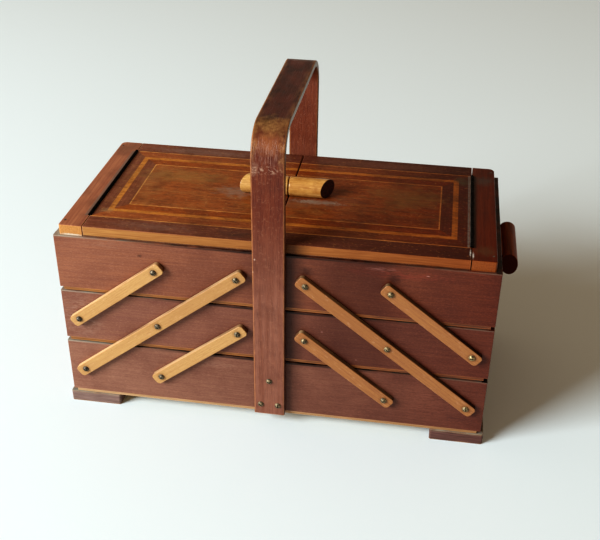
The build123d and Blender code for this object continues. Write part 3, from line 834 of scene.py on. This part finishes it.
def dress_arms():
    """Each arm's finish knows its pivots, which are the joints' places."""
    for side_name, side in SIDES.items():
        base, middle, top, lower, upper = (joint_places[f"{side_name}_{j}"] for j in ARM_JOINTS)
        span = middle - base
        pivots = {
            "long_arm": (base, middle, top),
            "lower_arm": (lower, lower + span),
            "upper_arm": (upper, upper + span),
        }
        for kind, places in pivots.items():
            finish = beech_arm(f"{side_name}_{kind}_beech", side, places)
            dress(finish, *(f"{side_name}_{face}_{kind}" for face in FACES))


dress_carcass()
dress_arms()
lid_finish = inlaid_lid()
strip_finish = strip_board()
grip_finish = dark_grip()
hinge_finish = dull_hinge()
screw_finish = blackened_screw()
for side_name, side in SIDES.items():
    dress(lid_finish, f"{side_name}_lid_panel")
    dress(strip_finish, f"{side_name}_end_strip")
    dress(grip_finish, f"{side_name}_end_grip")
    dress(golden_knob(side), f"{side_name}_lid_knob")
    dress(
        hinge_finish,
        *(f"{side_name}_hinge_{part}" for part in ("fixed_leaf", "lid_leaf", "pin")),
    )
    dress(screw_finish, *(f"{side_name}_{tier}_pivot_screws" for tier in TIERS))
dress(screw_finish, "base_pivot_screws", "handle_screws")
dress(bent_handle(), "carry_handle")
dress(stained_feet(), "corner_feet")

# ---------------------------------------------------------------- pins and screws

TOUCHING = 1e-7  # in metres
GOLDEN_TURN = math.radians(137.5)  # so that no two slots line up
# sizes and places of the heads, in mm
SLOT_WIDTH = 0.9
LEAF_FACE = 1.1  # from the hinge axis to the face of each leaf
FLOOR_PIN_INSETS = 2.4, 4  # from the floor's ends and faces
BASE_PINS = range(-160, 161, 40), range(-40, 41, 40)  # along and across the floor
TRAY_PINS = range(30, 191, 40), range(-60, 61, 40)
STRIP_PIN_X, STRIP_PIN_Y = 205.9, 90.3
KNOB_SCREWS_X, KNOB_SCREWS_Y = (14, 32), 2
GRIP_SCREWS_Y, GRIP_SHIFT, GRIP_HEIGHT = (-24, 24), 2.4, 175
NAIL_ROWS, NAIL_HEIGHT = range(-70, 71, 20), 208.2


def pin_head(radius, rise):
    """A low domed nail head, standing on z = 0."""
    head = bmesh.new()
    profile = ((0, 0), (radius, 0), (radius, 0.4 * rise), (0.6 * radius, 0.85 * rise), (0, rise))
    points = [head.verts.new((r * MM, 0, height * MM)) for r, height in profile]
    edges = [head.edges.new(pair) for pair in zip(points, points[1:])]
    centred = {"cent": (0, 0, 0), "axis": (0, 0, 1), "angle": 2 * math.pi}
    bmesh.ops.spin(head, geom=points + edges, steps=14, use_merge=True, **centred)
    bmesh.ops.remove_doubles(head, verts=head.verts, dist=TOUCHING)
    bmesh.ops.recalc_face_normals(head, faces=head.faces)
    return head


def screw_head(radius, rise, slot_depth):
    """A low round screw head with a straight slot, standing on z = 0."""
    head = bmesh.new()
    cone = {"radius1": radius * MM, "radius2": 0.72 * radius * MM, "depth": rise * MM}
    lifted = Matrix.Translation((0, 0, rise / 2 * MM))
    bmesh.ops.create_cone(head, cap_ends=True, segments=28, matrix=lifted, **cone)
    rim = [e for e in head.edges if all(abs(v.co.z - rise * MM) < TOUCHING for v in e.verts)]
    round_over = {"offset": 0.25 * rise * MM, "segments": 2, "profile": 0.5}
    bmesh.ops.bevel(head, geom=rim, affect="EDGES", material=-1, **round_over)
    half_slot = SLOT_WIDTH / 2 * MM
    for way in (-1, 1):
        everything = head.verts[:] + head.edges[:] + head.faces[:]
        plane = {"plane_co": (way * half_slot, 0, 0), "plane_no": (way, 0, 0)}
        bmesh.ops.bisect_plane(head, geom=everything, **plane)
    upper = [face for face in head.faces if face.normal.z > 0.9]
    groove = [face for face in upper if abs(face.calc_center_median().x) < half_slot]
    sunk = bmesh.ops.extrude_face_region(head, geom=groove)
    lowered = [item for item in sunk["geom"] if isinstance(item, bmesh.types.BMVert)]
    bmesh.ops.translate(head, verts=lowered, vec=(0, 0, -slot_depth * MM))
    bmesh.ops.delete(head, geom=groove, context="FACES_ONLY")
    bmesh.ops.recalc_face_normals(head, faces=head.faces)
    return head


def put_in_scene(name, data):
    """A new object that shows a mesh, a light or a camera."""
    item = bpy.data.objects.new(name, data)
    bpy.context.scene.collection.objects.link(item)
    return item


def set_heads(name, body, slot, finish, head, direction, places):
    """Copies of one head at places in millimetres, all facing one way, riding on one body."""
    single = bpy.data.meshes.new(name + "_single")
    head.to_mesh(single)
    head.free()
    turn = Vector((0, 0, 1)).rotation_difference(Vector(direction)).to_matrix().to_4x4()
    together = bmesh.new()
    for number, place in enumerate(places):
        spin = Matrix.Rotation(GOLDEN_TURN * number, 4, "Z")
        done = len(together.verts)
        together.from_mesh(single)
        together.verts.ensure_lookup_table()
        moved = Matrix.Translation(Vector(place) * MM) @ turn @ spin
        bmesh.ops.transform(together, matrix=moved, verts=together.verts[done:])
    mesh = bpy.data.meshes.new(name)
    together.to_mesh(mesh)
    together.free()
    bpy.data.meshes.remove(single)
    piece = put_in_scene(name, mesh)
    mesh.materials.append(finish)
    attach(piece, body)


def fix_floors(pin_finish):
    """Pins hold each plywood floor to its walls from below."""
    floors = [("base", "base", BASE_PINS)]
    floors += [(f"{s}_{t}_tray", f"{s}_{t}", TRAY_PINS) for s, t in TRAYS]
    for body, tray, (along, across) in floors:
        low, high = (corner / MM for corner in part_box(f"{tray}_floor"))
        way = SIDES.get(tray.split("_")[0], 1)
        from_end, from_face = FLOOR_PIN_INSETS
        rows = [(way * x, y) for x in along for y in (low.y + from_face, high.y - from_face)]
        ends = [(x, y) for x in (low.x + from_end, high.x - from_end) for y in across]
        places = [(x, y, low.z) for x, y in rows + ends]
        look = ("screw_steel", pin_finish, pin_head(1.1, 0.3))
        set_heads(f"{tray}_floor_pins", body, *look, (0, 0, -1), places)


def fix_lids(rusted, blued):
    """Strip pins, hinge nails, and the screws of knobs and grips."""
    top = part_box("right_end_strip")[1].z / MM
    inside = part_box("right_top_outer_end")[0].x / MM
    axis_x = joint_places["right_lid_hinge"].x / MM
    steel, hinge = "screw_steel", "hinge_metal"
    for side_name, side in SIDES.items():
        tray, lid = f"{side_name}_top_tray", f"{side_name}_lid"
        up, down, inwards, outwards = (0, 0, 1), (0, 0, -1), (-side, 0, 0), (side, 0, 0)
        pins = [(side * STRIP_PIN_X, y, top) for y in (-STRIP_PIN_Y, STRIP_PIN_Y)]
        screws = [(side * x, side * KNOB_SCREWS_Y, LID_UNDER) for x in KNOB_SCREWS_X]
        grips = [(side * inside, y - side * GRIP_SHIFT, GRIP_HEIGHT) for y in GRIP_SCREWS_Y]
        fixed_nails = [(side * (axis_x + LEAF_FACE), y, NAIL_HEIGHT) for y in NAIL_ROWS]
        lid_nails = [(side * (axis_x - LEAF_FACE), y, NAIL_HEIGHT) for y in NAIL_ROWS]
        for name, body, slot, finish, head, direction, places in (
            ("strip_pins", tray, steel, rusted, pin_head(1.3, 0.25), up, pins),
            ("knob_screws", lid, steel, blued, screw_head(3.4, 1.1, 0.7), down, screws),
            ("grip_screws", tray, steel, blued, screw_head(3.4, 1.4, 0.8), inwards, grips),
            ("hinge_fixed_nails", tray, hinge, blued, pin_head(1.2, 0.4), inwards, fixed_nails),
            ("hinge_lid_nails", lid, hinge, blued, pin_head(1.2, 0.4), outwards, lid_nails),
        ):
            set_heads(f"{side_name}_{name}", body, slot, finish, head, direction, places)


pin_finish = rusted_pin()
fix_floors(pin_finish)
fix_lids(pin_finish, screw_finish)

# ---------------------------------------------------------------- floor, light and view

PAPER_HALF = 6  # in metres


def pale_floor():
    """A wide sheet of matt pale paper for the carrier to stand on."""
    sheet = bmesh.new()
    bmesh.ops.create_grid(sheet, x_segments=1, y_segments=1, size=PAPER_HALF)
    mesh = bpy.data.meshes.new("paper_floor")
    sheet.to_mesh(mesh)
    sheet.free()
    floor = put_in_scene("paper_floor", mesh)
    material, tree = new_material("matt_paper")
    place = in_mm(tree)
    fibre = add(tree, "TexNoise", {"Vector": place, "Scale": 0.5, "Detail": 4})
    tint = add(tree, "MapRange", {"Value": fibre, "To Min": 0.4, "To Max": 0.6})
    colour = blend(tree, tint, "e2ebee", "e8f1f4")
    mesh.materials.append(close_material(material, colour, 0.8, fibre, 0.02))


# the window, in metres and watts, and what its light falls towards
WINDOW_WIDTH, WINDOW_HEIGHT, WINDOW_POWER = 2.4, 2.2, 346
WINDOW_AT, LIT_POINT = (-3.66, -2.71, 2.32), (0, 0, 0.1)
# the room's linear colours, and the camera's place and angles in metres and degrees
ROOM_WALLS, ROOM_CEILING = [0.50, 0.47, 0.42, 1], [0.245, 0.185, 0.125, 1]
EYE_AT, LENS = (0.14173, -0.85999, 0.65219), 56.84
YAW, PITCH, ROLL = (math.radians(angle) for angle in (8.56, 31.27, 0.69))


def window_light():
    """Soft daylight from a window on the left, a little in front, and a dim room."""
    light = bpy.data.lights.new("window", "AREA")
    light.shape = "RECTANGLE"
    light.size = WINDOW_WIDTH
    light.size_y = WINDOW_HEIGHT
    light.energy = WINDOW_POWER
    light.color = srgb("f2fbff")[:3]
    lamp = put_in_scene("window", light)
    lamp.location = WINDOW_AT
    aim = Vector(LIT_POINT) - lamp.location
    lamp.rotation_euler = aim.to_track_quat("-Z", "Y").to_euler()
    world = bpy.data.worlds.new("room")
    bpy.context.scene.world = world
    world.use_nodes = True
    tree = world.node_tree
    tree.nodes.clear()
    direction = add(tree, "TexCoord", out="Generated")
    height = add(tree, "SeparateXYZ", {0: direction}, out="Z")
    share = risen(tree, height, (0.06, 0.34))
    colour = blend(tree, share, ROOM_WALLS, ROOM_CEILING)
    background = add(tree, "Background", {"Color": colour, "Strength": 1.0})
    add(tree, "OutputWorld", {"Surface": background})


def set_view():
    """The camera stands right of the middle and looks down at the front."""
    level = Vector((math.cos(YAW), math.sin(YAW), 0))
    ahead = Vector((-math.sin(YAW), math.cos(YAW), 0))
    forward = math.cos(PITCH) * ahead - Vector((0, 0, math.sin(PITCH)))
    upward = level.cross(forward)
    right = math.cos(ROLL) * level + math.sin(ROLL) * upward
    up = math.cos(ROLL) * upward - math.sin(ROLL) * level
    turned = Matrix((right, up, -forward)).transposed().to_4x4()
    camera = bpy.data.cameras.new("view")
    camera.sensor_fit = "HORIZONTAL"
    camera.sensor_width = 36
    camera.lens = LENS
    camera.clip_end = 20
    eye = put_in_scene("view", camera)
    eye.matrix_world = Matrix.Translation(EYE_AT) @ turned
    bpy.context.scene.camera = eye


pale_floor()
window_light()
set_view()
bpy.context.scene.view_settings.view_transform = "Standard"
bpy.context.scene.view_settings.look = "High Contrast"
